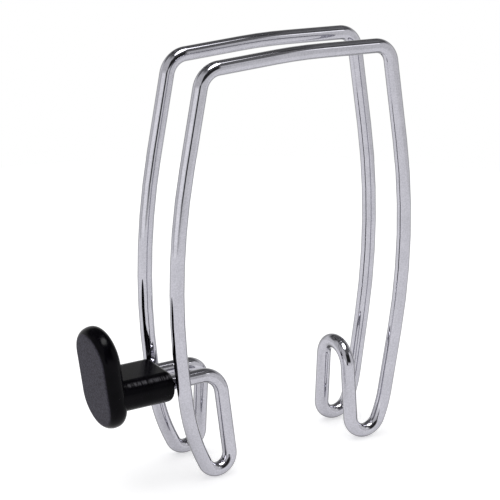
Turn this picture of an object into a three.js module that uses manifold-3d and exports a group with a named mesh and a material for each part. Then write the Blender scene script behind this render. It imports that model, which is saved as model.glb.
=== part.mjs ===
import * as THREE from 'three';
import { mergeVertices } from 'three/addons/utils/BufferGeometryUtils.js';
import Module from 'manifold-3d';

// Over-panel coat hook: one bent wire straddles a partition panel and carries a moulded peg.
// Millimetres. +X points to the plain side, +Y to the rear hoop, +Z up.
// The origin lies on the panel's top edge, midway between the two hoops.

// The round wire
const wireDiameter = 6.0;
const wireSides = 12;
const sectionStartDegrees = 15;
const largestRingTurnDegrees = 12;
const chordTolerance = 0.12;
const shortestStep = 0.05;

// The panel that the hook straddles
const panelThickness = 54.0;

// Distances between the front and rear hoops, centre to centre
const topSpacing = 25.6;
const bowSpacing = 25.8;
const pegFootSpacing = 26.6;
const plainFootSpacing = 23.2;

// Top bars and outer legs. Reaches are measured sideways from the middle of the panel,
// and drops down from the bend point at the crest.
const crestRadius = 254;
const cornerReach = 44.0;
const cornerDrop = 1.9;
const cornerRadius = 8.6;
const bowReach = 58.8;
const bowDrop = 85.5;
const bowRadius = 277;
const footDrop = 172.0;

// Knees and feet on the peg side
const pegKneeReach = 48.4;
const pegKneeDrop = 154.9;
const pegKneeRadius = 88;
const pegFootOuterReach = 39.5;
const pegFootInnerReach = 28.8;

// Knees and feet on the plain side
const plainKneeReach = 48.6;
const plainKneeDrop = 161.5;
const plainKneeRadius = 80;
const plainFootOuterReach = 44.4;
const plainFootInnerReach = 32.6;

// The arch that joins the two hoops on the plain side
const archReach = 31.2;
const archDrop = 133.5;
const archSpacing = 16.8;

// The strands that pass between the legs and enter the peg
const strandBendReach = 31.4;
const strandDrop = 132.0;
const strandBendRadius = 8.8;
const strandClearance = 0.35;
const strandInsertion = 21.1;

// The peg's stem, with a blind bore for each end of the wire
const stemEndReach = 54.9;
const stemDrop = 132.8;
const stemWidth = 25.8;
const stemHeight = 13.0;
const stemCornerRadius = 6.0;
const stemEdgeRadius = 2.4;
const stemRootDepth = 4.4;
const boreClearance = 0.3;
const boreEndGap = 1.0;
const boreSides = 24;

// The peg's upright plate, leaning outwards at its top
const plateReach = 86.3;
const plateDrop = 126.9;
const plateWidth = 26.4;
const plateHeight = 44.1;
const plateCornerRadius = 12.9;
const plateThickness = 8.5;
const plateTiltDegrees = 8.9;
const faceRimWidth = 3.0;
const faceRimDepth = 4.2;
const backRimWidth = 4.0;
const backRimDepth = 3.9;
const rimSteps = 4;
const quarterArcSteps = 12;

const wireRadius = wireDiameter / 2;
const panelHalf = panelThickness / 2;
const quarterTurn = Math.PI / 2;
const halfTurn = Math.PI;
const fullTurn = 2 * Math.PI;

// The crest stands this far above the panel's edge, because the sloping bars rest on its corners.
const topSlope = Math.atan2(cornerDrop, cornerReach);
const crestHeight = wireRadius / Math.cos(topSlope) + panelHalf * Math.tan(topSlope);

// The two strands just clear the legs that they pass between.
const passShare = (strandDrop - bowDrop) / (pegKneeDrop - bowDrop);
const legSpacingAtStrands = THREE.MathUtils.lerp(bowSpacing, pegFootSpacing, passShare);
const strandSpacing = legSpacingAtStrands - 2 * (wireDiameter + strandClearance);
const strandEndReach = stemEndReach + strandInsertion;

// The wire's centreline, kept as stations: a centre point and the wire's direction at each.
// Every ring of the finished wire lands on a station.
class BentWire extends THREE.Curve {
  constructor(stations) {
    super();
    this.stations = stations;
  }

  // A value between two neighbouring stations
  between(share, key, target) {
    const place = share * (this.stations.length - 1);
    const before = Math.min(Math.floor(place), this.stations.length - 2);
    const from = this.stations[before][key];
    const to = this.stations[before + 1][key];
    return target.lerpVectors(from, to, place - before);
  }

  getPoint(share, target = new THREE.Vector3()) {
    return this.between(share, 'point', target);
  }

  getPointAt(share, target = new THREE.Vector3()) {
    return this.getPoint(share, target);
  }

  getTangent(share, target = new THREE.Vector3()) {
    return this.between(share, 'direction', target).normalize();
  }

  getTangentAt(share, target = new THREE.Vector3()) {
    return this.getTangent(share, target);
  }
}

// Direction from one bend point to the next
function heading(from, to) {
  return new THREE.Vector3().subVectors(to, from).normalize();
}

// Angle that the wire turns through at the middle one of three bend points
function turnAt(before, corner, after) {
  return heading(before, corner).angleTo(heading(corner, after));
}

// Radius at which two neighbouring bends meet in one round turn, with no straight between them
function roundRadius(before, first, second, after) {
  const firstPart = Math.tan(turnAt(before, first, second) / 2);
  const secondPart = Math.tan(turnAt(first, second, after) / 2);
  return first.distanceTo(second) / (firstPart + secondPart);
}

// Bend points of the front half of the wire, from its end in the peg to the arch
function frontHalf() {
  const at = (x, spacing, drop) => new THREE.Vector3(x, -spacing / 2, crestHeight - drop);
  const end = at(-strandEndReach, strandSpacing, strandDrop);
  const strandBend = at(-strandBendReach, strandSpacing, strandDrop);
  const pegFootInner = at(-pegFootInnerReach, pegFootSpacing, footDrop);
  const pegFootOuter = at(-pegFootOuterReach, pegFootSpacing, footDrop);
  const pegKnee = at(-pegKneeReach, pegFootSpacing, pegKneeDrop);
  const plainKnee = at(plainKneeReach, plainFootSpacing, plainKneeDrop);
  const plainFootOuter = at(plainFootOuterReach, plainFootSpacing, footDrop);
  const plainFootInner = at(plainFootInnerReach, plainFootSpacing, footDrop);
  const arch = at(archReach, archSpacing, archDrop);
  const rearArch = at(archReach, -archSpacing, archDrop);
  const pegFootRadius = roundRadius(strandBend, pegFootInner, pegFootOuter, pegKnee);
  const plainFootRadius = roundRadius(plainKnee, plainFootOuter, plainFootInner, arch);
  const archTurn = turnAt(plainFootInner, arch, rearArch);
  return [
    { point: end, radius: 0 },
    { point: strandBend, radius: strandBendRadius },
    { point: pegFootInner, radius: pegFootRadius },
    { point: pegFootOuter, radius: pegFootRadius },
    { point: pegKnee, radius: pegKneeRadius },
    { point: at(-bowReach, bowSpacing, bowDrop), radius: bowRadius },
    { point: at(-cornerReach, topSpacing, cornerDrop), radius: cornerRadius },
    { point: at(0, topSpacing, 0), radius: crestRadius },
    { point: at(cornerReach, topSpacing, cornerDrop), radius: cornerRadius },
    { point: at(bowReach, bowSpacing, bowDrop), radius: bowRadius },
    { point: plainKnee, radius: plainKneeRadius },
    { point: plainFootOuter, radius: plainFootRadius },
    { point: plainFootInner, radius: plainFootRadius },
    { point: arch, radius: archSpacing / 2 / Math.tan(archTurn / 2) },
  ];
}

// The rear half mirrors the front one, back to the second end in the peg.
function wireBends() {
  const front = frontHalf();
  const rear = front.map(({ point, radius }) => {
    return { point: new THREE.Vector3(point.x, -point.y, point.z), radius };
  });
  return front.concat(rear.reverse());
}

// Length that each bend takes from the straight runs on both sides of it
function bendReaches(bends) {
  const reaches = bends.map(({ point, radius }, index) => {
    if (radius === 0) return 0;
    return radius * Math.tan(turnAt(bends[index - 1].point, point, bends[index + 1].point) / 2);
  });
  // Where two bends ask for more than the run between them, the longer one gives way.
  for (let index = 0; index + 1 < bends.length; index += 1) {
    const run = bends[index].point.distanceTo(bends[index + 1].point);
    const excess = reaches[index] + reaches[index + 1] - run;
    if (excess > 0) reaches[reaches[index] > reaches[index + 1] ? index : index + 1] -= excess;
  }
  return reaches;
}

// Stations round one bend, in the plane of the two runs that meet there
function bendStations(before, corner, after, reach) {
  const incoming = heading(before, corner);
  const turn = turnAt(before, corner, after);
  const radius = reach / Math.tan(turn / 2);
  const axis = new THREE.Vector3().crossVectors(incoming, heading(corner, after)).normalize();
  const inward = new THREE.Vector3().crossVectors(axis, incoming);
  const start = corner.clone().addScaledVector(incoming, -reach);
  const centre = start.clone().addScaledVector(inward, radius);
  const chordTurn = 2 * Math.acos(1 - chordTolerance / radius);
  const ringTurn = Math.min(THREE.MathUtils.degToRad(largestRingTurnDegrees), chordTurn);
  const steps = Math.ceil(turn / ringTurn);
  const stations = [];
  for (let step = 0; step <= steps; step += 1) {
    const angle = (turn * step) / steps;
    const spoke = start.clone().sub(centre).applyAxisAngle(axis, angle);
    const direction = incoming.clone().applyAxisAngle(axis, angle);
    stations.push({ point: centre.clone().add(spoke), direction });
  }
  return stations;
}

// Stations of the whole wire, with none closer to the one before it than the shortest step
function wireStations() {
  const bends = wireBends();
  const reaches = bendReaches(bends);
  const points = bends.map(({ point }) => point);
  const last = points.length - 1;
  const stations = [{ point: points[0], direction: heading(points[0], points[1]) }];
  for (let index = 1; index < last; index += 1) {
    const around = bendStations(points[index - 1], points[index], points[index + 1], reaches[index]);
    for (const station of around) {
      const previous = stations[stations.length - 1].point;
      if (station.point.distanceTo(previous) > shortestStep) stations.push(station);
    }
  }
  stations.push({ point: points[last], direction: heading(points[last - 1], points[last]) });
  return stations;
}

// The section starts between two axes, so that level runs have a flat side up and one down.
function wireSection() {
  const section = new THREE.Shape();
  const start = THREE.MathUtils.degToRad(sectionStartDegrees);
  section.absarc(0, 0, wireRadius, start, start + fullTurn, false);
  return section;
}

function wireGeometry() {
  const stations = wireStations();
  return new THREE.ExtrudeGeometry(wireSection(), {
    steps: stations.length - 1,
    extrudePath: new BentWire(stations),
    curveSegments: wireSides / 2,
  });
}

// A closed mesh becomes a solid once its doubled corners are merged.
function toSolid(library, geometry) {
  const bare = geometry.clone();
  bare.deleteAttribute('normal');
  bare.deleteAttribute('uv');
  const merged = mergeVertices(bare);
  return new library.Manifold(new library.Mesh({
    numProp: 3,
    vertProperties: new Float32Array(merged.attributes.position.array),
    triVerts: new Uint32Array(merged.index.array),
  }));
}

function toGeometry(solid) {
  const mesh = solid.getMesh();
  const indexed = new THREE.BufferGeometry();
  indexed.setAttribute('position', new THREE.BufferAttribute(mesh.vertProperties, mesh.numProp));
  indexed.setIndex(new THREE.BufferAttribute(mesh.triVerts, 1));
  const geometry = indexed.toNonIndexed();
  geometry.computeVertexNormals();
  return geometry;
}

// A rectangle with round corners, centred on zero
function roundedOutline(width, height, radius) {
  const x = width / 2 - radius;
  const y = height / 2 - radius;
  const outline = new THREE.Shape();
  outline.absarc(x, y, radius, 0, quarterTurn, false);
  outline.absarc(-x, y, radius, quarterTurn, halfTurn, false);
  outline.absarc(-x, -y, radius, halfTurn, halfTurn + quarterTurn, false);
  outline.absarc(x, -y, radius, halfTurn + quarterTurn, fullTurn, false);
  return outline;
}

// A slab whose width runs along Y and height along Z, from zero to its depth along X.
// Both ends are rounded over inside the outline.
function rimmedSlab(outline, depth, rimWidth, rimDepth) {
  const slab = new THREE.ExtrudeGeometry(outline, {
    depth: depth - 2 * rimDepth,
    bevelThickness: rimDepth,
    bevelSize: rimWidth,
    bevelOffset: -rimWidth,
    bevelSegments: rimSteps,
    curveSegments: quarterArcSteps / 2,
  });
  slab.translate(0, 0, rimDepth);
  slab.rotateX(quarterTurn);
  slab.rotateZ(quarterTurn);
  return slab;
}

// The plate is rounded over around its face and around its back, with a narrow band between.
function plateSolid(library) {
  const outline = roundedOutline(plateWidth, plateHeight, plateCornerRadius);
  const faceSide = rimmedSlab(outline, 2 * plateThickness, faceRimWidth, faceRimDepth);
  const backSide = rimmedSlab(outline, 2 * plateThickness, backRimWidth, backRimDepth);
  backSide.translate(-plateThickness, 0, 0);
  for (const side of [faceSide, backSide]) {
    side.rotateY(-THREE.MathUtils.degToRad(plateTiltDegrees));
    side.translate(-plateReach, 0, crestHeight - plateDrop);
  }
  return toSolid(library, faceSide).intersect(toSolid(library, backSide));
}

// The stem runs from inside the plate to its free end beside the legs.
function stemSolid(library) {
  const rootReach = plateReach - plateThickness + stemRootDepth;
  const outline = roundedOutline(stemWidth, stemHeight, stemCornerRadius);
  const stem = rimmedSlab(outline, rootReach - stemEndReach, stemEdgeRadius, stemEdgeRadius);
  stem.translate(-rootReach, 0, crestHeight - stemDrop);
  return toSolid(library, stem);
}

// Blind bore around one end of the wire, open at the stem's free end
function boreSolid(library, side) {
  const radius = (wireRadius + boreClearance) / Math.cos(halfTurn / boreSides);
  const innerReach = strandEndReach + boreEndGap;
  const mouthReach = stemEndReach - boreEndGap;
  const bore = new THREE.CylinderGeometry(radius, radius, innerReach - mouthReach, boreSides);
  bore.rotateZ(quarterTurn);
  bore.translate(-(innerReach + mouthReach) / 2, side * strandSpacing / 2, crestHeight - strandDrop);
  return toSolid(library, bore);
}

function pegGeometry(library) {
  const body = plateSolid(library).add(stemSolid(library));
  return toGeometry(body.subtract(boreSolid(library, -1)).subtract(boreSolid(library, 1)));
}

// Chromed steel
function wireFrame() {
  const chrome = new THREE.MeshStandardMaterial({ color: 0xc6c5cc, roughness: 0.1, metalness: 1 });
  const mesh = new THREE.Mesh(wireGeometry(), chrome);
  mesh.name = 'wire_frame';
  return mesh;
}

// Black moulded plastic
function coatPeg(library) {
  const plastic = new THREE.MeshStandardMaterial({ color: 0x242327, roughness: 0.45, metalness: 0 });
  const mesh = new THREE.Mesh(pegGeometry(library), plastic);
  mesh.name = 'coat_peg';
  return mesh;
}

const library = await Module();
library.setup();

const hook = new THREE.Group();
hook.add(wireFrame());
hook.add(coatPeg(library));

export default hook;
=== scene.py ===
"""Dresses the over-panel coat hook: a bent chromed wire with a moulded black peg."""

import logging
import math
from collections.abc import Callable, Iterator
from contextlib import contextmanager
from dataclasses import dataclass, field
from enum import Enum

import bmesh
import bpy
from mathutils import Matrix, Vector

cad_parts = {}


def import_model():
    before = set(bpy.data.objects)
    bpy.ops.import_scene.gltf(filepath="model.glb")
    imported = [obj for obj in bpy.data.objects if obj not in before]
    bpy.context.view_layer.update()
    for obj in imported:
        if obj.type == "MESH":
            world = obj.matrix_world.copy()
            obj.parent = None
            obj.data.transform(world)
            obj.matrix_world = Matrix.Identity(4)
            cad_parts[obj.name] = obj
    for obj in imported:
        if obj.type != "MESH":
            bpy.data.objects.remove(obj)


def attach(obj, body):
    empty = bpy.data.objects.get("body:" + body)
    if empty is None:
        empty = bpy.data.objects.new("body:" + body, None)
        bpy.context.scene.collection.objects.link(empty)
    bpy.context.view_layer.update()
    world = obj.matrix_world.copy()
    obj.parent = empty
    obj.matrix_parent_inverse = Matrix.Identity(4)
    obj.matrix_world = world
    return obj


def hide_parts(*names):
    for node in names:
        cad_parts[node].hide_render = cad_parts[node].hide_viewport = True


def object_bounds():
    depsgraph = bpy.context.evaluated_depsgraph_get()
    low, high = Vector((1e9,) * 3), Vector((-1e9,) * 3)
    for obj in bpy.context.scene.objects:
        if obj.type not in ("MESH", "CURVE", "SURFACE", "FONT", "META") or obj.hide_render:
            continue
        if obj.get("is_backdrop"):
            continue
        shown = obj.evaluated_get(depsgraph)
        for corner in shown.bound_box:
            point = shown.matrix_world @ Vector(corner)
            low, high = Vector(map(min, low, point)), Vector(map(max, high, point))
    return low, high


log = logging.getLogger("coat_hook")

MM = 0.001
BODY = "root"
MERGE_DISTANCE = 0.002 * MM
SHORTEST_RUN = 0.02 * MM
SAME_DIRECTION = 0.999
QUARTER_TURN = math.radians(90)
WHITE = (1.0, 1.0, 1.0)


class Half(Enum):
    """The two mirrored halves of the hook, by the sign of their Y."""

    FRONT = -1
    REAR = 1


class Region(Enum):
    """What edit mode selects."""

    POINTS = "VERT"
    EDGES = "EDGE"
    FACES = "FACE"


class Operation(Enum):
    """What a second solid does to a piece."""

    JOIN = "UNION"
    CUT = "DIFFERENCE"


class Blend(Enum):
    """What a mix of two inputs gives."""

    NUMBER = "FLOAT"
    COLOUR = "RGBA"


# Modelling by operators


def deselect_all() -> None:
    """Leaves no object selected, because an operator acts on all that is."""
    bpy.ops.object.select_all(action="DESELECT")


def make_active(piece: bpy.types.Object) -> None:
    """Selects one piece alone and makes it the active one.

    Args:
        piece: The piece to work on.
    """
    deselect_all()
    piece.select_set(True)
    bpy.context.view_layer.objects.active = piece


def seat(piece: bpy.types.Object) -> None:
    """Puts a piece's place into its mesh and leaves its object at the origin.

    Args:
        piece: The piece.
    """
    make_active(piece)
    bpy.ops.object.transform_apply(location=True, rotation=True, scale=True)


def added(name: str) -> bpy.types.Object:
    """Names the primitive that was just added and seats it.

    Args:
        name: The piece's name.

    Returns:
        The piece.
    """
    piece = bpy.context.object
    piece.name = piece.data.name = name
    seat(piece)
    return piece


@contextmanager
def editing(piece: bpy.types.Object, region: Region) -> Iterator[None]:
    """Opens a piece in edit mode with nothing selected in it, and closes it again.

    Args:
        piece: The piece to shape.
        region: What its selections are made of.

    Yields:
        Nothing.
    """
    make_active(piece)
    bpy.ops.object.mode_set(mode="EDIT")
    bpy.ops.mesh.select_mode(type=region.value)
    bpy.ops.mesh.select_all(action="DESELECT")
    try:
        yield
    finally:
        bpy.ops.object.mode_set(mode="OBJECT")


def choose(piece: bpy.types.Object, region: Region, test: Callable[..., bool]) -> None:
    """Selects the points, edges or faces that pass a test, in edit mode.

    Args:
        piece: The piece that is being edited.
        region: What is chosen from.
        test: Says for one of them whether it is chosen.
    """
    mesh = bmesh.from_edit_mesh(piece.data)
    parts = {Region.POINTS: mesh.verts, Region.EDGES: mesh.edges, Region.FACES: mesh.faces}
    for part in parts[region]:
        part.select_set(test(part))
    mesh.select_flush_mode()
    bmesh.update_edit_mesh(piece.data)


def choose_face(piece: bpy.types.Object, normal: Vector) -> None:
    """Selects the one face that looks most nearly along a direction and lies furthest out.

    Args:
        piece: The piece that is being edited.
        normal: The direction.
    """
    mesh = bmesh.from_edit_mesh(piece.data)
    mesh.normal_update()
    straight = [face for face in mesh.faces if face.normal.dot(normal) > SAME_DIRECTION]
    chosen = max(straight, key=lambda face: face.calc_center_median().dot(normal))
    for face in mesh.faces:
        face.select_set(face is chosen)
    bmesh.update_edit_mesh(piece.data)


def round_over(width: float, depth: float, steps: int) -> None:
    """Rounds the rim of the chosen face outwards along a quarter ellipse.

    Args:
        width: How far the face draws in.
        depth: How far the face moves out.
        steps: How many strips make the rounding.
    """
    turned = [QUARTER_TURN * step / steps for step in range(steps + 1)]
    for before, after in zip(turned, turned[1:]):
        bpy.ops.mesh.inset(
            thickness=width * (math.cos(before) - math.cos(after)),
            depth=depth * (math.sin(after) - math.sin(before)),
            use_even_offset=True,
        )


def combine(piece: bpy.types.Object, other: bpy.types.Object, operation: Operation) -> None:
    """Joins another solid to a piece, or cuts it out of it, and removes the other solid.

    Args:
        piece: The piece that stays.
        other: The solid that is used up.
        operation: Whether the other solid is joined on or cut out.
    """
    make_active(piece)
    step = piece.modifiers.new("combine", "BOOLEAN")
    step.operation = operation.value
    step.solver = "EXACT"
    step.object = other
    bpy.ops.object.modifier_apply(modifier=step.name)
    bpy.data.objects.remove(other)


def finish_mesh(piece: bpy.types.Object, crease_degrees: float) -> None:
    """Merges doubles, turns all faces outwards and shades the piece smooth up to a crease angle.

    Args:
        piece: The finished shape.
        crease_degrees: Edges sharper than this stay sharp.
    """
    with editing(piece, Region.POINTS):
        bpy.ops.mesh.select_all(action="SELECT")
        bpy.ops.mesh.remove_doubles(threshold=MERGE_DISTANCE)
        bpy.ops.mesh.normals_make_consistent(inside=False)
    make_active(piece)
    bpy.ops.object.shade_smooth_by_angle(angle=math.radians(crease_degrees))
    weighted = piece.modifiers.new("weighted_normals", "WEIGHTED_NORMAL")
    weighted.keep_sharp = True
    bpy.ops.object.modifier_apply(modifier=weighted.name)


# Node groups shared by the finishes


class NodeBench:
    """Places and joins the nodes of one tree."""

    def __init__(self, tree: bpy.types.NodeTree) -> None:
        """Starts on an empty tree.

        Args:
            tree: The tree to fill.
        """
        self.tree = tree
        self.tree.nodes.clear()

    def feed(self, node: bpy.types.Node, feeds: dict[str | int, object]) -> None:
        """Links or sets inputs of a node.

        Args:
            node: The node.
            feeds: A socket, number, vector or colour by the input's name or place.
        """
        for label, value in feeds.items():
            target = node.inputs[label]
            if isinstance(value, bpy.types.NodeSocket):
                self.tree.links.new(value, target)
            else:
                target.default_value = (*value, 1.0) if target.type == "RGBA" else value

    def add(
        self, kind: str, feeds: dict[str | int, object] | None = None, **settings: object
    ) -> bpy.types.Node:
        """Adds a node, sets its options and feeds its inputs.

        Args:
            kind: The node's type.
            feeds: What its inputs get, by their name or place.
            **settings: Options of the node by name.

        Returns:
            The node.
        """
        node = self.tree.nodes.new(kind)
        for name, value in settings.items():
            setattr(node, name, value)
        self.feed(node, feeds or {})
        return node

    def math(self, operation: str, *terms: object) -> bpy.types.NodeSocket:
        """Adds a sum.

        Args:
            operation: The kind of sum.
            *terms: Its sockets or numbers.

        Returns:
            The result's socket.
        """
        node = self.add("ShaderNodeMath", dict(enumerate(terms)), operation=operation)
        return node.outputs[0]

    def ramp(
        self, value: bpy.types.NodeSocket, low: object, high: object, to_low: float, to_high: float
    ) -> bpy.types.NodeSocket:
        """Maps a range of values smoothly to another.

        Args:
            value: The socket to map.
            low: Start of the range, a number or a socket.
            high: End of the range, a number or a socket.
            to_low: Result at the start.
            to_high: Result at the end.

        Returns:
            The result's socket.
        """
        feeds = {
            "Value": value,
            "From Min": low,
            "From Max": high,
            "To Min": to_low,
            "To Max": to_high,
        }
        node = self.add("ShaderNodeMapRange", feeds, interpolation_type="SMOOTHSTEP")
        return node.outputs["Result"]

    def blend(
        self, kind: Blend, share: bpy.types.NodeSocket, first: object, second: object
    ) -> bpy.types.NodeSocket:
        """Mixes two numbers or two colours.

        Args:
            kind: What is mixed.
            share: Share of the second.
            first: A socket, a number or a colour.
            second: A socket, a number or a colour.

        Returns:
            The result's socket.
        """
        feeds = {"Factor": share, "A": first, "B": second}
        return self.add("ShaderNodeMix", feeds, data_type=kind.value).outputs["Result"]


def new_group(
    name: str, inputs: dict[str, float | None], outputs: tuple[str, ...]
) -> tuple[bpy.types.NodeTree, NodeBench, bpy.types.Node, bpy.types.Node]:
    """Starts a shader node group with named sockets.

    Args:
        name: The group's name.
        inputs: Default by input name, or None for a vector input.
        outputs: Names of the number outputs.

    Returns:
        The group, its bench, and its input and output nodes.
    """
    group = bpy.data.node_groups.new(name, "ShaderNodeTree")
    for label, value in inputs.items():
        kind = "NodeSocketVector" if value is None else "NodeSocketFloat"
        socket = group.interface.new_socket(label, in_out="INPUT", socket_type=kind)
        if value is not None:
            socket.default_value = value
    for label in outputs:
        group.interface.new_socket(label, in_out="OUTPUT", socket_type="NodeSocketFloat")
    bench = NodeBench(group)
    return group, bench, bench.add("NodeGroupInput"), bench.add("NodeGroupOutput")


class SurfaceGrain:
    """Fine relief of a surface: a coarse wave with a fine grain on it."""

    NAME = "surface_grain"
    WAVE_DETAIL = 2.0
    GRAIN_DETAIL = 4.0
    GRAIN_ROUGHNESS = 0.6

    @classmethod
    def group(cls) -> bpy.types.NodeTree:
        """Builds the group once.

        Returns:
            The group, with the outputs Height and Tone.
        """
        if cls.NAME in bpy.data.node_groups:
            return bpy.data.node_groups[cls.NAME]
        numbers = {"Place": None, "Wave Scale": 60.0, "Grain Scale": 2000.0, "Grain Share": 0.5}
        group, bench, source, result = new_group(cls.NAME, numbers, ("Height", "Tone"))
        given = source.outputs
        wave = bench.add(
            "ShaderNodeTexNoise",
            {"Vector": given["Place"], "Scale": given["Wave Scale"], "Detail": cls.WAVE_DETAIL},
        )
        grain = bench.add(
            "ShaderNodeTexNoise",
            {
                "Vector": given["Place"],
                "Scale": given["Grain Scale"],
                "Detail": cls.GRAIN_DETAIL,
                "Roughness": cls.GRAIN_ROUGHNESS,
            },
        )
        tone = grain.outputs["Fac"]
        height = bench.blend(Blend.NUMBER, given["Grain Share"], wave.outputs["Fac"], tone)
        bench.feed(result, {"Height": height, "Tone": tone})
        return group


class Handling:
    """Soft smudges left by hands and cleaning, as a mask."""

    NAME = "handling"
    DETAIL = 5.0
    DISTORTION = 0.6
    MIDDLE = 0.5

    @classmethod
    def group(cls) -> bpy.types.NodeTree:
        """Builds the group once.

        Returns:
            The group, with the output Mask.
        """
        if cls.NAME in bpy.data.node_groups:
            return bpy.data.node_groups[cls.NAME]
        numbers = {"Place": None, "Scale": 90.0, "Spread": 0.12}
        group, bench, source, result = new_group(cls.NAME, numbers, ("Mask",))
        given = source.outputs
        cloud = bench.add(
            "ShaderNodeTexNoise",
            {
                "Vector": given["Place"],
                "Scale": given["Scale"],
                "Detail": cls.DETAIL,
                "Distortion": cls.DISTORTION,
            },
        )
        centred = bench.math("SUBTRACT", cloud.outputs["Fac"], cls.MIDDLE)
        spread = bench.math("DIVIDE", centred, given["Spread"])
        lifted = bench.math("ADD", spread, cls.MIDDLE)
        clamped = bench.add("ShaderNodeClamp", {"Value": lifted})
        bench.feed(result, {"Mask": clamped.outputs["Result"]})
        return group


def new_material(name: str) -> tuple[bpy.types.Material, NodeBench, bpy.types.Node]:
    """Starts a material with one principled shader.

    Args:
        name: The material's name.

    Returns:
        The material, its bench and its shader.
    """
    material = bpy.data.materials.new(name)
    material.use_nodes = True
    bench = NodeBench(material.node_tree)
    shader = bench.add("ShaderNodeBsdfPrincipled")
    bench.add("ShaderNodeOutputMaterial", {"Surface": shader.outputs["BSDF"]})
    return material, bench, shader


@dataclass(frozen=True)
class ChromePlate:
    """Bright chrome plate on drawn steel wire."""

    clean: tuple[float, float, float] = (0.470, 0.465, 0.510)
    handled: tuple[float, float, float] = (0.440, 0.436, 0.478)
    edge_shade: float = 0.22
    edge_facing: tuple[float, float] = (0.46, 0.74)
    speckle: float = 0.10
    speckle_tones: tuple[float, float] = (0.3, 0.7)
    smoothest: float = 0.03
    roughest: float = 0.07
    smudge_scale: float = 110.0
    smudge_spread: float = 0.25
    wave_scale: float = 140.0
    grain_scale: float = 1600.0
    grain_share: float = 0.25
    ripple: float = 0.05
    ripple_height: float = 0.2 * MM

    def material(self) -> bpy.types.Material:
        """Makes the material.

        Returns:
            The chrome.
        """
        material, bench, shader = new_material("chrome_plate")
        place = bench.add("ShaderNodeTexCoord").outputs["Object"]
        smudge = bench.add(
            "ShaderNodeGroup",
            {"Place": place, "Scale": self.smudge_scale, "Spread": self.smudge_spread},
            node_tree=Handling.group(),
        )
        grain = bench.add(
            "ShaderNodeGroup",
            {
                "Place": place,
                "Wave Scale": self.wave_scale,
                "Grain Scale": self.grain_scale,
                "Grain Share": self.grain_share,
            },
            node_tree=SurfaceGrain.group(),
        )
        mask = smudge.outputs["Mask"]
        plate = bench.blend(Blend.COLOUR, mask, self.clean, self.handled)
        facing = bench.add("ShaderNodeLayerWeight").outputs["Facing"]
        shade = bench.ramp(facing, *self.edge_facing, 1.0, self.edge_shade)
        fleck = bench.ramp(
            grain.outputs["Tone"], *self.speckle_tones, 1.0 - self.speckle, 1.0 + self.speckle
        )
        tone = bench.math("MULTIPLY", shade, fleck)
        toned = bench.add("ShaderNodeVectorMath", {0: plate, "Scale": tone}, operation="SCALE")
        height = grain.outputs["Height"]
        bump = bench.add(
            "ShaderNodeBump",
            {"Strength": self.ripple, "Distance": self.ripple_height, "Height": height},
        )
        bench.feed(
            shader,
            {
                "Base Color": toned.outputs["Vector"],
                "Roughness": bench.ramp(mask, 0.0, 1.0, self.smoothest, self.roughest),
                "Metallic": 1.0,
                "Normal": bump.outputs["Normal"],
            },
        )
        return material


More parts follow.
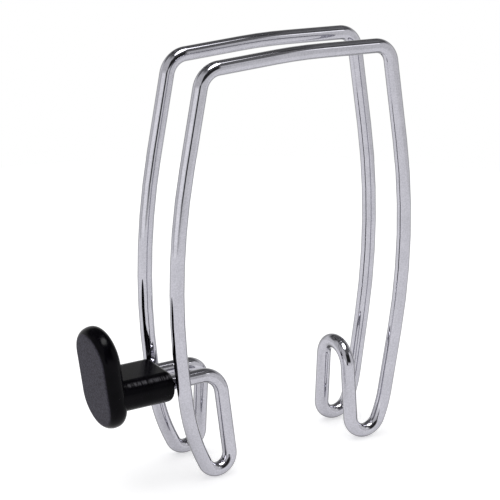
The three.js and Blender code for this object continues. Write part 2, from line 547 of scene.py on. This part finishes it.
@dataclass(frozen=True)
class MouldedPlastic:
    """Black moulded plastic: a finely grained face and smoother rims and sides."""

    body: tuple[float, float, float] = (0.0008, 0.0006, 0.0014)
    body_worn: tuple[float, float, float] = (0.0026, 0.0022, 0.0036)
    # The face's lighter grey is partly its own grain and partly painted sheen, standing in for its
    # grazing reflection.
    face: tuple[float, float, float] = (0.064, 0.060, 0.080)
    face_dark: tuple[float, float, float] = (0.024, 0.022, 0.030)
    reflection: float = 0.05
    body_rough: float = 0.20
    face_rough: float = 0.5
    face_edge: tuple[float, float] = (-0.5 * MM, -0.05 * MM)
    face_tones: tuple[float, float] = (0.35, 0.65)
    smudge_scale: float = 160.0
    smudge_spread: float = 0.3
    wave_scale: float = 420.0
    grain_scale: float = 1500.0
    grain_share: float = 0.6
    grain_strength: float = 0.25
    grain_height: float = 0.1 * MM
    # Painted highlight: a lighter streaked band on the stem's upper rounded edges, placed by how
    # steeply the surface faces up.
    painted_highlight: tuple[float, float, float] = (0.075, 0.072, 0.080)
    highlight_rise: tuple[float, float] = (0.66, 0.79)
    highlight_fall: tuple[float, float] = (0.83, 0.93)
    highlight_reach: tuple[float, float] = (0.5 * MM, 2.5 * MM)
    streak_stretch: tuple[float, float, float] = (1.0, 0.12, 0.12)
    streak_scale: float = 1400.0
    streak_tones: tuple[float, float] = (0.38, 0.60)

    def highlight_mask(
        self, bench: NodeBench, place: bpy.types.NodeSocket, stem_root: float
    ) -> bpy.types.NodeSocket:
        """Gives the streaked band of painted highlight along the stem's upper rounded edges.

        Args:
            bench: The material's bench.
            place: The coordinates on the piece.
            stem_root: X at which the stem leaves the plate.

        Returns:
            The mask's socket.
        """
        normal = bench.add("ShaderNodeTexCoord").outputs["Normal"]
        upward = bench.add("ShaderNodeSeparateXYZ", {"Vector": normal}).outputs["Z"]
        steep = bench.ramp(upward, *self.highlight_rise, 0.0, 1.0)
        flat = bench.ramp(upward, *self.highlight_fall, 1.0, 0.0)
        along = bench.add("ShaderNodeSeparateXYZ", {"Vector": place}).outputs["X"]
        reach = bench.math("SUBTRACT", along, stem_root)
        on_stem = bench.ramp(reach, *self.highlight_reach, 0.0, 1.0)
        stretched = bench.add(
            "ShaderNodeVectorMath", {0: place, 1: self.streak_stretch}, operation="MULTIPLY"
        )
        streaks = bench.add(
            "ShaderNodeGroup",
            {"Place": stretched.outputs["Vector"], "Grain Scale": self.streak_scale},
            node_tree=SurfaceGrain.group(),
        )
        tone = bench.ramp(streaks.outputs["Tone"], *self.streak_tones, 0.0, 1.0)
        edge = bench.math("MULTIPLY", steep, flat)
        return bench.math("MULTIPLY", bench.math("MULTIPLY", edge, on_stem), tone)

    def material(
        self, face_point: Vector, face_normal: Vector, stem_root: float
    ) -> bpy.types.Material:
        """Makes the material.

        Args:
            face_point: A point on the grained face.
            face_normal: The face's outward normal.
            stem_root: X at which the stem leaves the plate.

        Returns:
            The plastic.
        """
        material, bench, shader = new_material("moulded_plastic")
        place = bench.add("ShaderNodeTexCoord").outputs["Object"]
        smudge = bench.add(
            "ShaderNodeGroup",
            {"Place": place, "Scale": self.smudge_scale, "Spread": self.smudge_spread},
            node_tree=Handling.group(),
        )
        grain = bench.add(
            "ShaderNodeGroup",
            {
                "Place": place,
                "Wave Scale": self.wave_scale,
                "Grain Scale": self.grain_scale,
                "Grain Share": self.grain_share,
            },
            node_tree=SurfaceGrain.group(),
        )
        along = bench.add(
            "ShaderNodeVectorMath", {0: place, 1: tuple(face_normal)}, operation="DOT_PRODUCT"
        )
        level = bench.math("SUBTRACT", along.outputs["Value"], face_point.dot(face_normal))
        on_face = bench.ramp(level, *self.face_edge, 0.0, 1.0)
        tone = bench.ramp(grain.outputs["Tone"], *self.face_tones, 0.0, 1.0)
        # The face: its grain's tones, lifted partly by painted sheen.
        face = bench.blend(Blend.COLOUR, tone, self.face_dark, self.face)
        body = bench.blend(Blend.COLOUR, smudge.outputs["Mask"], self.body, self.body_worn)
        # Painted highlight laid into the body's colour along the stem's upper edges, over its real
        # smudges.
        highlight_share = self.highlight_mask(bench, place, stem_root)
        smudged_and_highlit = bench.blend(Blend.COLOUR, highlight_share, body, self.painted_highlight)
        height = grain.outputs["Height"]
        bump = bench.add(
            "ShaderNodeBump",
            {"Strength": self.grain_strength, "Distance": self.grain_height, "Height": height},
        )
        bench.feed(
            shader,
            {
                "Base Color": bench.blend(Blend.COLOUR, on_face, smudged_and_highlit, face),
                "Roughness": bench.ramp(on_face, 0.0, 1.0, self.body_rough, self.face_rough),
                "Specular IOR Level": self.reflection,
                "Normal": bump.outputs["Normal"],
            },
        )
        return material


# The two pieces


@dataclass(frozen=True)
class Bend:
    """One bend point of the wire and the radius that rounds it."""

    point: Vector
    radius: float


@dataclass
class WireFrame:
    """The one bent wire: two hoops, the arch between them and the strands into the peg."""

    wire_radius: float = 3.0 * MM
    panel_half: float = 27.0 * MM
    top_spacing: float = 25.6 * MM
    bow_spacing: float = 25.8 * MM
    peg_foot_spacing: float = 26.6 * MM
    plain_foot_spacing: float = 23.2 * MM
    crest_radius: float = 254 * MM
    corner: tuple[float, float] = (44.0 * MM, 1.9 * MM)
    corner_radius: float = 8.6 * MM
    bow: tuple[float, float] = (58.8 * MM, 85.5 * MM)
    bow_radius: float = 277 * MM
    foot_drop: float = 172.0 * MM
    peg_knee: tuple[float, float] = (48.4 * MM, 154.9 * MM)
    peg_knee_radius: float = 88 * MM
    peg_foot_reaches: tuple[float, float] = (39.5 * MM, 28.8 * MM)
    plain_knee: tuple[float, float] = (48.6 * MM, 161.5 * MM)
    plain_knee_radius: float = 80 * MM
    plain_foot_reaches: tuple[float, float] = (44.4 * MM, 32.6 * MM)
    arch: tuple[float, float] = (31.2 * MM, 133.5 * MM)
    arch_spacing: float = 16.8 * MM
    strand_bend: tuple[float, float] = (31.4 * MM, 132.0 * MM)
    strand_bend_radius: float = 8.8 * MM
    strand_clearance: float = 0.35 * MM
    strand_end: float = 76.0 * MM
    sides: int = 48
    ring_turn_degrees: float = 3.0
    fewest_turn_steps: int = 3
    end_chamfer: float = 0.4 * MM
    crease_degrees: float = 40.0
    finish: ChromePlate = field(default_factory=ChromePlate)

    @property
    def crest_height(self) -> float:
        """Height of the crest's bend point above the panel's edge."""
        slope = math.atan2(self.corner[1], self.corner[0])
        return self.wire_radius / math.cos(slope) + self.panel_half * math.tan(slope)

    @property
    def strand_spacing(self) -> float:
        """Distance between the strands, which just clear the legs."""
        share = (self.strand_bend[1] - self.bow[1]) / (self.peg_knee[1] - self.bow[1])
        legs = self.bow_spacing + share * (self.peg_foot_spacing - self.bow_spacing)
        return legs - 2 * (2 * self.wire_radius + self.strand_clearance)

    def place(self, reach: float, spacing: float, drop: float) -> Vector:
        """Gives a point of the front half.

        Args:
            reach: Its X.
            spacing: Distance between the two halves there.
            drop: How far it lies below the crest.

        Returns:
            The point.
        """
        return Vector((reach, -spacing / 2, self.crest_height - drop))

    @staticmethod
    def turn(before: Vector, corner: Vector, after: Vector) -> float:
        """Gives the angle that the wire turns through at a bend point."""
        return (corner - before).angle(after - corner)

    def round_radius(self, before: Vector, first: Vector, second: Vector, after: Vector) -> float:
        """Gives the radius at which two bends meet in one round turn.

        Args:
            before: The point before the two.
            first: The first bend point.
            second: The second bend point.
            after: The point after the two.

        Returns:
            The radius.
        """
        first_part = math.tan(self.turn(before, first, second) / 2)
        second_part = math.tan(self.turn(first, second, after) / 2)
        return (second - first).length / (first_part + second_part)

    def front_bends(self) -> list[Bend]:
        """Lists the bends of the front half, from the peg to the arch.

        Returns:
            The bends.
        """
        peg_feet = self.peg_foot_spacing
        plain_feet = self.plain_foot_spacing
        end = self.place(-self.strand_end, self.strand_spacing, self.strand_bend[1])
        strand = self.place(-self.strand_bend[0], self.strand_spacing, self.strand_bend[1])
        peg_inner = self.place(-self.peg_foot_reaches[1], peg_feet, self.foot_drop)
        peg_outer = self.place(-self.peg_foot_reaches[0], peg_feet, self.foot_drop)
        peg_knee = self.place(-self.peg_knee[0], peg_feet, self.peg_knee[1])
        plain_knee = self.place(self.plain_knee[0], plain_feet, self.plain_knee[1])
        plain_outer = self.place(self.plain_foot_reaches[0], plain_feet, self.foot_drop)
        plain_inner = self.place(self.plain_foot_reaches[1], plain_feet, self.foot_drop)
        arch = self.place(self.arch[0], self.arch_spacing, self.arch[1])
        rear_arch = self.place(self.arch[0], -self.arch_spacing, self.arch[1])
        peg_round = self.round_radius(strand, peg_inner, peg_outer, peg_knee)
        plain_round = self.round_radius(plain_knee, plain_outer, plain_inner, arch)
        arch_turn = self.turn(plain_inner, arch, rear_arch)
        corner_reach, corner_drop = self.corner
        bow_reach, bow_drop = self.bow
        return [
            Bend(end, 0),
            Bend(strand, self.strand_bend_radius),
            Bend(peg_inner, peg_round),
            Bend(peg_outer, peg_round),
            Bend(peg_knee, self.peg_knee_radius),
            Bend(self.place(-bow_reach, self.bow_spacing, bow_drop), self.bow_radius),
            Bend(self.place(-corner_reach, self.top_spacing, corner_drop), self.corner_radius),
            Bend(self.place(0, self.top_spacing, 0), self.crest_radius),
            Bend(self.place(corner_reach, self.top_spacing, corner_drop), self.corner_radius),
            Bend(self.place(bow_reach, self.bow_spacing, bow_drop), self.bow_radius),
            Bend(plain_knee, self.plain_knee_radius),
            Bend(plain_outer, plain_round),
            Bend(plain_inner, plain_round),
            Bend(arch, self.arch_spacing / 2 / math.tan(arch_turn / 2)),
        ]

    def bends(self) -> list[Bend]:
        """Lists the bends of the whole wire, the rear half mirrored from the front one.

        Returns:
            The bends, from one end in the peg to the other.
        """
        front = self.front_bends()
        mirrored = Vector((1, -1, 1))
        return front + [Bend(bend.point * mirrored, bend.radius) for bend in reversed(front)]

    def reaches(self, bends: list[Bend]) -> list[float]:
        """Gives the length that each bend takes from the runs beside it.

        Args:
            bends: The wire's bends.

        Returns:
            One length for each bend.
        """
        found = [0.0]
        for before, bend, after in zip(bends, bends[1:], bends[2:]):
            angle = self.turn(before.point, bend.point, after.point)
            found.append(bend.radius * math.tan(angle / 2))
        found.append(0.0)
        for index in range(len(bends) - 1):
            run = (bends[index + 1].point - bends[index].point).length
            excess = found[index] + found[index + 1] - run
            if excess > 0:
                found[index if found[index] > found[index + 1] else index + 1] -= excess
        return found

    def model(self) -> bpy.types.Object:
        """Bends the wire, starting from a ring at its end in the peg.

        Returns:
            The wire as one closed mesh.
        """
        bends = self.bends()
        reaches = self.reaches(bends)
        bpy.ops.mesh.primitive_circle_add(
            vertices=self.sides,
            radius=self.wire_radius,
            location=bends[0].point,
            rotation=(0, QUARTER_TURN, 0),
        )
        wire = added("bent_wire")
        tip = bends[0].point.copy()
        with editing(wire, Region.POINTS):
            bpy.ops.mesh.select_all(action="SELECT")
            for before, bend, after, reach in zip(bends, bends[1:], bends[2:], reaches[1:]):
                start = bend.point - (bend.point - before.point).normalized() * reach
                self.run_to(tip, start)
                tip = self.bend_round(before.point, bend.point, after.point, reach)
            self.run_to(tip, bends[-1].point)
            self.close_end()
            first_ring = self.wire_radius + SHORTEST_RUN
            origin = bends[0].point
            choose(wire, Region.POINTS, lambda point: (point.co - origin).length < first_ring)
            self.close_end()
        finish_mesh(wire, self.crease_degrees)
        return wire

    @staticmethod
    def run_to(tip: Vector, target: Vector) -> None:
        """Draws the open end of the wire straight on.

        Args:
            tip: Where the end is.
            target: Where it goes.
        """
        if (target - tip).length > SHORTEST_RUN:
            bpy.ops.mesh.extrude_region_move(TRANSFORM_OT_translate={"value": target - tip})

    def bend_round(self, before: Vector, corner: Vector, after: Vector, reach: float) -> Vector:
        """Spins the open end of the wire round one bend.

        Args:
            before: The bend point before this one.
            corner: This bend point.
            after: The bend point after it.
            reach: Length that the bend takes from the run before it.

        Returns:
            Where the end of the wire is after the bend.
        """
        incoming = (corner - before).normalized()
        outgoing = (after - corner).normalized()
        angle = incoming.angle(outgoing)
        axis = incoming.cross(outgoing).normalized()
        radius = reach / math.tan(angle / 2)
        centre = corner - incoming * reach + axis.cross(incoming) * radius
        steps = math.ceil(math.degrees(angle) / self.ring_turn_degrees)
        bpy.ops.mesh.spin(
            steps=max(self.fewest_turn_steps, steps),
            angle=-angle,
            center=centre,
            axis=axis,
        )
        return corner + outgoing * reach

    def close_end(self) -> None:
        """Closes the chosen ring with a chamfered end face."""
        bpy.ops.mesh.edge_face_add()
        bpy.ops.mesh.inset(thickness=self.end_chamfer, depth=0.0)

    def build(self) -> bpy.types.Object:
        """Models the wire, dresses it and seats it on the hook.

        Returns:
            The piece.
        """
        wire = self.model()
        wire.data.materials.append(self.finish.material())
        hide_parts("wire_frame")
        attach(wire, BODY)
        return wire


@dataclass
class CoatPeg:
    """The moulded peg: an upright plate that leans outwards, on a flat-topped stem."""

    wire: WireFrame
    stem_end: float = 54.9 * MM
    stem_drop: float = 132.8 * MM
    stem_width: float = 25.8 * MM
    stem_height: float = 13.0 * MM
    stem_corner: float = 6.0 * MM
    stem_rim: float = 2.4 * MM
    root_depth: float = 4.4 * MM
    root_fillet: float = 0.5 * MM
    bore_clearance: float = 0.3 * MM
    bore_lip: float = 0.35 * MM
    bore_end_gap: float = 1.0 * MM
    plate_reach: float = 86.27 * MM
    plate_drop: float = 126.9 * MM
    plate_width: float = 26.38 * MM
    plate_height: float = 44.06 * MM
    plate_thickness: float = 8.45 * MM
    plate_tilt_degrees: float = 8.9
    face_rim: tuple[float, float] = (3.0 * MM, 4.2 * MM)
    back_rim: tuple[float, float] = (4.0 * MM, 3.9 * MM)
    outline_points: int = 98
    rim_steps: int = 12
    corner_steps: int = 14
    root_steps: int = 4
    lip_steps: int = 2
    hollow_degrees: float = 20.0
    crease_degrees: float = 35.0
    finish: MouldedPlastic = field(default_factory=MouldedPlastic)

    @property
    def face_centre(self) -> Vector:
        """Middle of the plate's face."""
        return Vector((-self.plate_reach, 0, self.wire.crest_height - self.plate_drop))

    @property
    def stem_level(self) -> float:
        """Height of the stem's middle."""
        return self.wire.crest_height - self.stem_drop

    @property
    def inward(self) -> Vector:
        """Direction through the plate, from its face to its back."""
        tilt = math.radians(self.plate_tilt_degrees)
        return Vector((math.cos(tilt), 0, math.sin(tilt)))

    def model_plate(self) -> bpy.types.Object:
        """Models the plate from a disc drawn out into a long round-ended slab.

        Returns:
            The plate.
        """
        face_depth = self.face_rim[1]
        middle = self.plate_thickness - face_depth - self.back_rim[1]
        bpy.ops.mesh.primitive_cylinder_add(
            vertices=self.outline_points,
            radius=self.plate_width / 2,
            depth=middle,
            location=(face_depth + middle / 2, 0, 0),
            rotation=(QUARTER_TURN, 0, QUARTER_TURN),
        )
        plate = added("moulded_peg")
        stretch = (self.plate_height - self.plate_width) / 2
        with editing(plate, Region.POINTS):
            choose(plate, Region.POINTS, lambda point: point.co.z > 0)
            bpy.ops.transform.translate(value=(0, 0, stretch))
            choose(plate, Region.POINTS, lambda point: point.co.z < 0)
            bpy.ops.transform.translate(value=(0, 0, -stretch))
            bpy.ops.mesh.select_mode(type=Region.FACES.value)
            choose_face(plate, Vector((-1, 0, 0)))
            round_over(*self.face_rim, self.rim_steps)
            choose_face(plate, Vector((1, 0, 0)))
            round_over(*self.back_rim, self.rim_steps)
        lean = Matrix.Rotation(-math.radians(self.plate_tilt_degrees), 4, "Y")
        plate.matrix_world = Matrix.Translation(self.face_centre) @ lean
        seat(plate)
        return plate

    def model_stem(self) -> bpy.types.Object:
        """Models the stem from a bar, with round edges and a rounded free end.

        Returns:
            The stem, reaching a little way into the plate.
        """
        root = self.plate_reach - self.plate_thickness + self.root_depth
        tip = self.stem_end + self.stem_rim
        bpy.ops.mesh.primitive_cube_add(
            size=1,
            location=(-(root + tip) / 2, 0, self.stem_level),
            scale=(root - tip, self.stem_width, self.stem_height),
        )
        stem = added("stem")
        with editing(stem, Region.EDGES):
            choose(
                stem,
                Region.EDGES,
                lambda edge: abs(edge.verts[1].co.x - edge.verts[0].co.x) > self.stem_rim,
            )
            bpy.ops.mesh.bevel(
                offset=self.stem_corner,
                segments=self.corner_steps,
                affect="EDGES",
                clamp_overlap=False,
            )
            bpy.ops.mesh.select_mode(type=Region.FACES.value)
            choose_face(stem, Vector((1, 0, 0)))
            round_over(self.stem_rim, self.stem_rim, self.rim_steps)
        return stem

    def soften_root(self, peg: bpy.types.Object) -> None:
        """Rounds the hollow seam where the stem meets the plate's back.

        Args:
            peg: The plate and the stem in one.
        """
        hollow = -math.radians(self.hollow_degrees)
        with editing(peg, Region.EDGES):
            choose(
                peg,
                Region.EDGES,
                lambda edge: edge.is_manifold and edge.calc_face_angle_signed() < hollow,
            )
            bpy.ops.mesh.bevel(
                offset=self.root_fillet,
                segments=self.root_steps,
                affect="EDGES",
                clamp_overlap=True,
            )

    def model_bore(self, half: Half) -> bpy.types.Object:
        """Models the solid of one blind bore, with a lip at its mouth.

        Args:
            half: The half of the hook that the bore is in.

        Returns:
            The solid to cut out.
        """
        radius = self.wire.wire_radius + self.bore_clearance
        inner = self.wire.strand_end + self.bore_end_gap
        level = self.wire.crest_height - self.wire.strand_bend[1]
        side = half.value * self.wire.strand_spacing / 2
        length = inner - self.stem_end - self.bore_lip
        bpy.ops.mesh.primitive_cylinder_add(
            vertices=self.wire.sides,
            radius=radius,
            depth=length,
            location=(-inner + length / 2, side, level),
            rotation=(0, QUARTER_TURN, 0),
        )
        bore = added("bore")
        with editing(bore, Region.FACES):
            choose_face(bore, Vector((1, 0, 0)))
            outward = {"value": (self.bore_lip, 0, 0)}
            for _ in range(self.lip_steps):
                bpy.ops.mesh.extrude_region_move(TRANSFORM_OT_translate=outward)
                grown = (radius + self.bore_lip) / radius
                bpy.ops.transform.resize(
                    value=(1, grown, grown), center_override=(-self.stem_end, side, level)
                )
                radius += self.bore_lip
        return bore

    def model(self) -> bpy.types.Object:
        """Joins the plate and the stem and opens the two bores.

        Returns:
            The peg as one closed mesh.
        """
        peg = self.model_plate()
        combine(peg, self.model_stem(), Operation.JOIN)
        self.soften_root(peg)
        for half in Half:
            combine(peg, self.model_bore(half), Operation.CUT)
        finish_mesh(peg, self.crease_degrees)
        return peg

    def build(self) -> bpy.types.Object:
        """Models the peg, dresses it and seats it on the wire.

        Returns:
            The piece.
        """
        peg = self.model()
        stem_root = self.plate_thickness - self.plate_reach
        plastic = self.finish.material(self.face_centre, -self.inward, stem_root)
        peg.data.materials.append(plastic)
        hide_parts("coat_peg")
        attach(peg, BODY)
        return peg


# The studio around the hook


def seen_rays(bench: NodeBench) -> bpy.types.NodeSocket:
    """Gives 1 for rays from the camera and for rays off or through a shiny surface.

    Args:
        bench: The bench of the floor or the world.

    Returns:
        The result's socket.
    """
    rays = bench.add("ShaderNodeLightPath").outputs
    shiny = bench.math("MAXIMUM", rays["Is Glossy Ray"], rays["Is Transmission Ray"])
    return bench.math("MAXIMUM", rays["Is Camera Ray"], shiny)


class RoomPatch:
    """One soft-edged area of the room, as a mask over azimuth and elevation in degrees."""

    NAME = "room_patch"
    HALF_TURN = 180.0

    @classmethod
    def group(cls) -> bpy.types.NodeTree:
        """Builds the group once.

        Returns:
            The group, with the output Mask.
        """
        if cls.NAME in bpy.data.node_groups:
            return bpy.data.node_groups[cls.NAME]
        numbers = {
            "Azimuth": 0.0,
            "Elevation": 0.0,
            "Centre Azimuth": 0.0,
            "Centre Elevation": 0.0,
            "Half Width": 10.0,
            "Half Height": 10.0,
            "Softness": 3.0,
        }
        group, bench, source, result = new_group(cls.NAME, numbers, ("Mask",))
        given = source.outputs
        turned = bench.math("SUBTRACT", given["Azimuth"], given["Centre Azimuth"])
        wrapped = bench.math("WRAP", turned, cls.HALF_TURN, -cls.HALF_TURN)
        raised = bench.math("SUBTRACT", given["Elevation"], given["Centre Elevation"])
        across = cls.inside(bench, wrapped, given["Half Width"], given["Softness"])
        upright = cls.inside(bench, raised, given["Half Height"], given["Softness"])
        bench.feed(result, {"Mask": bench.math("MULTIPLY", across, upright)})
        return group

    @staticmethod
    def inside(
        bench: NodeBench,
        offset: bpy.types.NodeSocket,
        half: bpy.types.NodeSocket,
        softness: bpy.types.NodeSocket,
    ) -> bpy.types.NodeSocket:
        """Gives 1 where an offset is well within a half width, falling to 0 outside it.

        Args:
            bench: The group's bench.
            offset: The offset from the middle.
            half: The half width.
            softness: Half the width of the soft edge.

        Returns:
            The result's socket.
        """
        distance = bench.math("ABSOLUTE", offset)
        near = bench.math("SUBTRACT", half, softness)
        far = bench.math("ADD", half, softness)
        return bench.ramp(distance, near, far, 1.0, 0.0)


@dataclass(frozen=True)
class Patch:
    """Place, size and brightness of one area of the room, in degrees seen from the hook."""

    name: str
    azimuth: float
    elevation: float
    half_width: float
    half_height: float
    softness: float
    level: float


ROOM = (
    Patch("left_wall", -80.0, 8.0, 50.0, 48.0, 14.0, 0.80),
    Patch("left_reflector", -78.0, -7.0, 26.0, 12.0, 8.0, 1.42),
    Patch("right_wall", 52.0, 9.0, 24.0, 24.0, 6.0, 0.92),
    Patch("dark_room", -4.0, 23.0, 32.0, 16.0, 5.0, 0.03),
    Patch("photographer", -34.0, -2.0, 9.0, 10.0, 4.0, 0.02),
    Patch("window", 45.0, 34.0, 4.0, 4.0, 2.5, 2.2),
    Patch("soft_box", 24.0, 75.0, 64.0, 11.0, 4.0, 14.0),
)


@dataclass
class Studio:
    """Floor, surroundings, lamp and camera."""

    floor_level: float
    floor_radius: float = 0.42
    floor_colour: tuple[float, float, float] = (0.80, 0.80, 0.80)
    floor_lift: float = 0.48
    floor_sides: int = 96
    backdrop_level: float = 1.0
    wall_level: float = 1.0
    fill: tuple[float, float, float] = (0.70, 0.70, 0.71)
    ceiling_degrees: tuple[float, float] = (12.0, 34.0)
    ceiling_levels: tuple[float, float] = (0.06, 0.26)
    mottle_scale: float = 7.0
    mottle_detail: float = 4.0
    mottle_tones: tuple[float, float] = (0.40, 0.62)
    lamp_place: tuple[float, float, float] = (-0.22, 0.14, 0.60)
    lamp_size: tuple[float, float] = (0.70, 0.60)
    lamp_power: float = 1.5
    camera_place: tuple[float, float, float] = (-0.456717, -0.698182, 0.212570)
    azimuth_degrees: float = -32.436
    elevation_degrees: float = 19.484
    roll_degrees: float = 0.969
    focal_length: float = 154.27
    sensor_width: float = 36.0
    nearest_seen: float = 0.01

    def build_floor(self) -> bpy.types.Object:
        """Lays a round pale table top that keeps the hook's shadow.

        Returns:
            The floor.
        """
        bpy.ops.mesh.primitive_circle_add(
            vertices=self.floor_sides,
            radius=self.floor_radius,
            fill_type="NGON",
            location=(0, 0, self.floor_level),
        )
        floor = added("floor")
        material = bpy.data.materials.new("table_top")
        material.use_nodes = True
        bench = NodeBench(material.node_tree)
        paper = bench.add("ShaderNodeBsdfDiffuse", {"Color": self.floor_colour})
        lift = bench.math("MULTIPLY", seen_rays(bench), self.floor_lift)
        glow = bench.add("ShaderNodeEmission", {"Strength": lift})
        both = bench.add(
            "ShaderNodeAddShader", {0: paper.outputs["BSDF"], 1: glow.outputs["Emission"]}
        )
        clear = bench.add("ShaderNodeBsdfTransparent")
        seen_from_below = bench.add("ShaderNodeNewGeometry").outputs["Backfacing"]
        sides = bench.add(
            "ShaderNodeMixShader",
            {"Fac": seen_from_below, 1: both.outputs["Shader"], 2: clear.outputs["BSDF"]},
        )
        bench.add("ShaderNodeOutputMaterial", {"Surface": sides.outputs["Shader"]})
        floor.data.materials.append(material)
        floor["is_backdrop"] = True
        return floor

    def build_surroundings(self) -> None:
        """Makes a white backdrop, which shiny surfaces see with the room's darker areas in it."""
        world = bpy.data.worlds.new("studio")
        bpy.context.scene.world = world
        world.use_nodes = True
        bench = NodeBench(world.node_tree)
        direction = bench.add("ShaderNodeTexCoord").outputs["Generated"]
        split = bench.add("ShaderNodeSeparateXYZ", {"Vector": direction})
        elevation = bench.math("DEGREES", bench.math("ARCSINE", split.outputs["Z"]))
        towards = bench.math("MULTIPLY", split.outputs["Y"], -1.0)
        azimuth = bench.math("DEGREES", bench.math("ARCTAN2", split.outputs["X"], towards))
        room = self.paint_room(bench, direction, azimuth, elevation)
        camera = bench.add("ShaderNodeLightPath").outputs["Is Camera Ray"]
        backdrop = bench.blend(Blend.NUMBER, camera, room, self.backdrop_level)
        seen = bench.add("ShaderNodeBackground", {"Strength": backdrop, "Color": WHITE})
        fill = bench.add("ShaderNodeBackground", {"Color": self.fill})
        sides = {1: fill.outputs["Background"], 2: seen.outputs["Background"]}
        mix = bench.add("ShaderNodeMixShader", {"Fac": seen_rays(bench), **sides})
        bench.add("ShaderNodeOutputWorld", {"Surface": mix.outputs["Shader"]})

    def paint_room(
        self,
        bench: NodeBench,
        direction: bpy.types.NodeSocket,
        azimuth: bpy.types.NodeSocket,
        elevation: bpy.types.NodeSocket,
    ) -> bpy.types.NodeSocket:
        """Lays the room's areas over white walls and a mottled dark ceiling.

        Args:
            bench: The world's bench.
            direction: The direction that is looked in.
            azimuth: Its azimuth in degrees.
            elevation: Its elevation in degrees.

        Returns:
            The brightness.
        """
        cloud = bench.add(
            "ShaderNodeTexNoise",
            {"Vector": direction, "Scale": self.mottle_scale, "Detail": self.mottle_detail},
        )
        ceiling = bench.ramp(cloud.outputs["Fac"], *self.mottle_tones, *self.ceiling_levels)
        above = bench.ramp(elevation, *self.ceiling_degrees, 0.0, 1.0)
        level = bench.blend(Blend.NUMBER, above, self.wall_level, ceiling)
        for patch in ROOM:
            mask = bench.add(
                "ShaderNodeGroup",
                {
                    "Azimuth": azimuth,
                    "Elevation": elevation,
                    "Centre Azimuth": patch.azimuth,
                    "Centre Elevation": patch.elevation,
                    "Half Width": patch.half_width,
                    "Half Height": patch.half_height,
                    "Softness": patch.softness,
                },
                node_tree=RoomPatch.group(),
                label=patch.name,
            )
            level = bench.blend(Blend.NUMBER, mask.outputs["Mask"], level, patch.level)
        return level

    def build_lamp(self) -> bpy.types.Object:
        """Hangs one wide soft lamp above the hook, facing straight down.

        Shiny surfaces see the room's own soft box in its place.

        Returns:
            The lamp.
        """
        light = bpy.data.lights.new("soft_box", "AREA")
        light.shape = "RECTANGLE"
        light.size, light.size_y = self.lamp_size
        light.energy = self.lamp_power
        lamp = bpy.data.objects.new("soft_box", light)
        bpy.context.collection.objects.link(lamp)
        lamp.location = self.lamp_place
        lamp.visible_glossy = False
        return lamp

    def build_camera(self) -> bpy.types.Object:
        """Sets the camera at the photograph's place and angle.

        Returns:
            The camera.
        """
        data = bpy.data.cameras.new("camera")
        data.sensor_width = self.sensor_width
        data.lens = self.focal_length
        data.clip_start = self.nearest_seen
        camera = bpy.data.objects.new("camera", data)
        bpy.context.collection.objects.link(camera)
        azimuth = math.radians(self.azimuth_degrees)
        elevation = math.radians(self.elevation_degrees)
        back = Vector((
            math.sin(azimuth) * math.cos(elevation),
            -math.cos(azimuth) * math.cos(elevation),
            math.sin(elevation),
        ))
        upright = back.to_track_quat("Z", "Y").to_matrix().to_4x4()
        roll = Matrix.Rotation(math.radians(self.roll_degrees), 4, "Z")
        camera.matrix_world = Matrix.Translation(self.camera_place) @ upright @ roll
        bpy.context.scene.camera = camera
        return camera

    def build(self) -> None:
        """Builds the whole studio."""
        self.build_floor()
        self.build_surroundings()
        self.build_lamp()
        self.build_camera()
        bpy.context.scene.view_settings.view_transform = "Standard"


def main() -> None:
    """Builds the hook's pieces and the studio in order."""
    logging.basicConfig(level=logging.INFO, format="%(name)s: %(message)s")
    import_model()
    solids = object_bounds()
    wire_frame = WireFrame()
    for builder in (wire_frame, CoatPeg(wire_frame)):
        piece = builder.build()
        log.info("%s: %d faces", piece.name, len(piece.data.polygons))
    Studio(floor_level=solids[0].z).build()
    log.info("studio ready")


if __name__ == "__main__":
    main()
